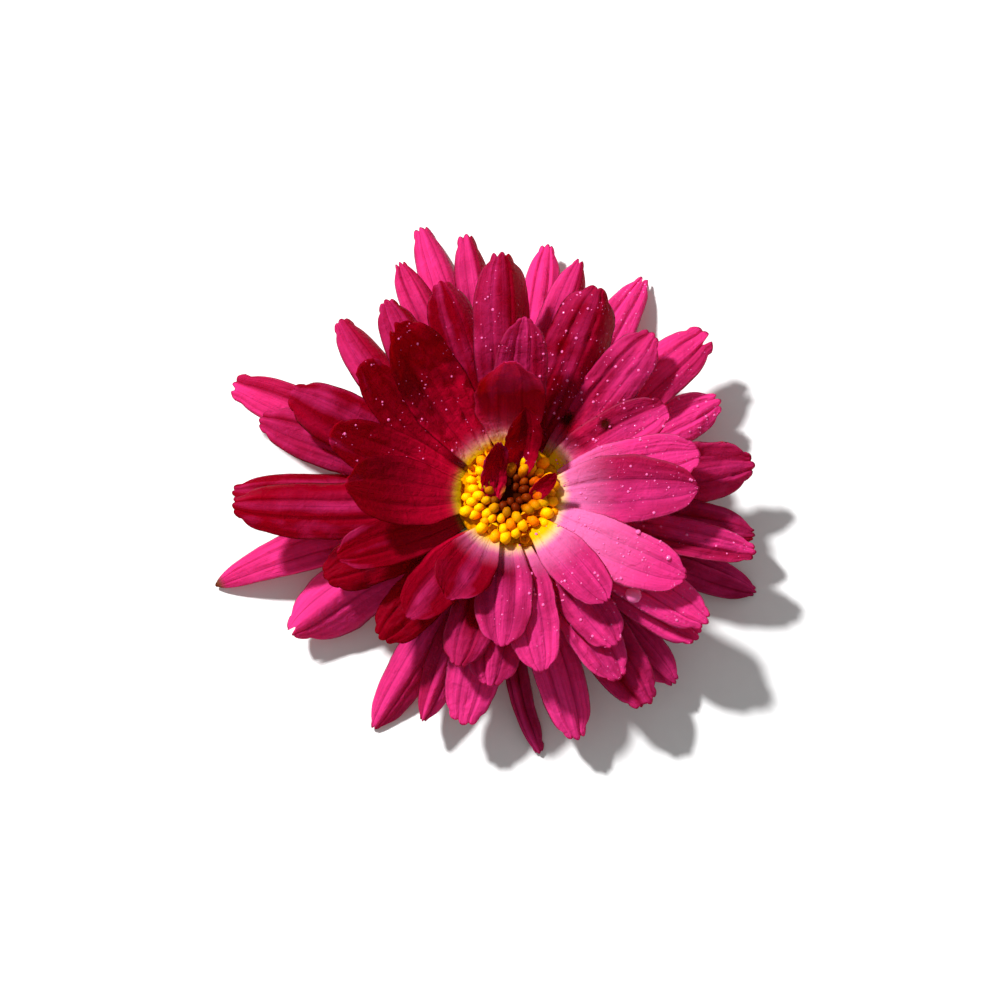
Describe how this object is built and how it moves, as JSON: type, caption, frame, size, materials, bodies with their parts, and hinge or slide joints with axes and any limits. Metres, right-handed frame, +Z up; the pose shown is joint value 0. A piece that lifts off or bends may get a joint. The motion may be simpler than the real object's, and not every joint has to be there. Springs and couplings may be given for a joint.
{
  "type": "chrysanthemum blossom",
  "caption": "Open semi-double chrysanthemum blossom: spreading ray petals round a cushion of disc florets, on a bract cup and a short cut stem, lying face up.",
  "frame": {"origin": "on the surface the flower lies on, under the middle of its outline seen from above", "axes": "+Z up along the flower's axis out of its face, +Y towards the top of the picture, +X to its right"},
  "size_m": [0.0698, 0.0692, 0.026],
  "materials": {
    "petals": "thin, softly glossy magenta ray florets, paler at the foot",
    "centre_petals": "young dark crimson ray florets, slightly shiny",
    "disc_florets": "golden yellow buds, waxy",
    "stem": "matt green, finely ridged and downy",
    "bracts": "matt green with pale papery edges"
  },
  "bodies": {
    "root": {"bract_cup": "bracts", "disc_florets": "disc_florets", "petal_centre_1": "centre_petals", "petal_centre_2": "centre_petals", "petal_inner_01": "petals", "petal_inner_02": "petals", "petal_inner_03": "petals", "petal_inner_04": "petals", "petal_inner_05": "petals", "petal_inner_06": "petals", "petal_inner_07": "petals", "petal_inner_08": "petals", "petal_inner_09": "petals", "petal_inner_10": "petals", "petal_inner_11": "petals", "petal_inner_12": "petals", "petal_inner_13": "petals", "petal_inner_14": "petals", "petal_inner_15": "petals", "petal_inner_16": "petals", "petal_middle_01": "petals", "petal_middle_02": "petals", "petal_middle_03": "petals", "petal_middle_04": "petals", "petal_middle_05": "petals", "petal_middle_06": "petals", "petal_middle_07": "petals", "petal_middle_08": "petals", "petal_middle_09": "petals", "petal_middle_10": "petals", "petal_middle_11": "petals", "petal_middle_12": "petals", "petal_middle_13": "petals", "petal_middle_14": "petals", "petal_middle_15": "petals", "petal_middle_16": "petals", "petal_middle_17": "petals", "petal_outer_01": "petals", "petal_outer_02": "petals", "petal_outer_03": "petals", "petal_outer_04": "petals", "petal_outer_05": "petals", "petal_outer_06": "petals", "petal_outer_07": "petals", "petal_outer_08": "petals", "petal_outer_09": "petals", "petal_outer_10": "petals", "petal_outer_11": "petals", "petal_outer_12": "petals", "petal_outer_13": "petals", "petal_outer_14": "petals", "petal_outer_15": "petals", "petal_outer_16": "petals", "petal_outer_17": "petals", "petal_outer_18": "petals", "petal_outer_19": "petals", "petal_outer_20": "petals", "petal_outer_21": "petals", "petal_outer_22": "petals", "stem_and_receptacle": "stem"}
  },
  "joints": []
}
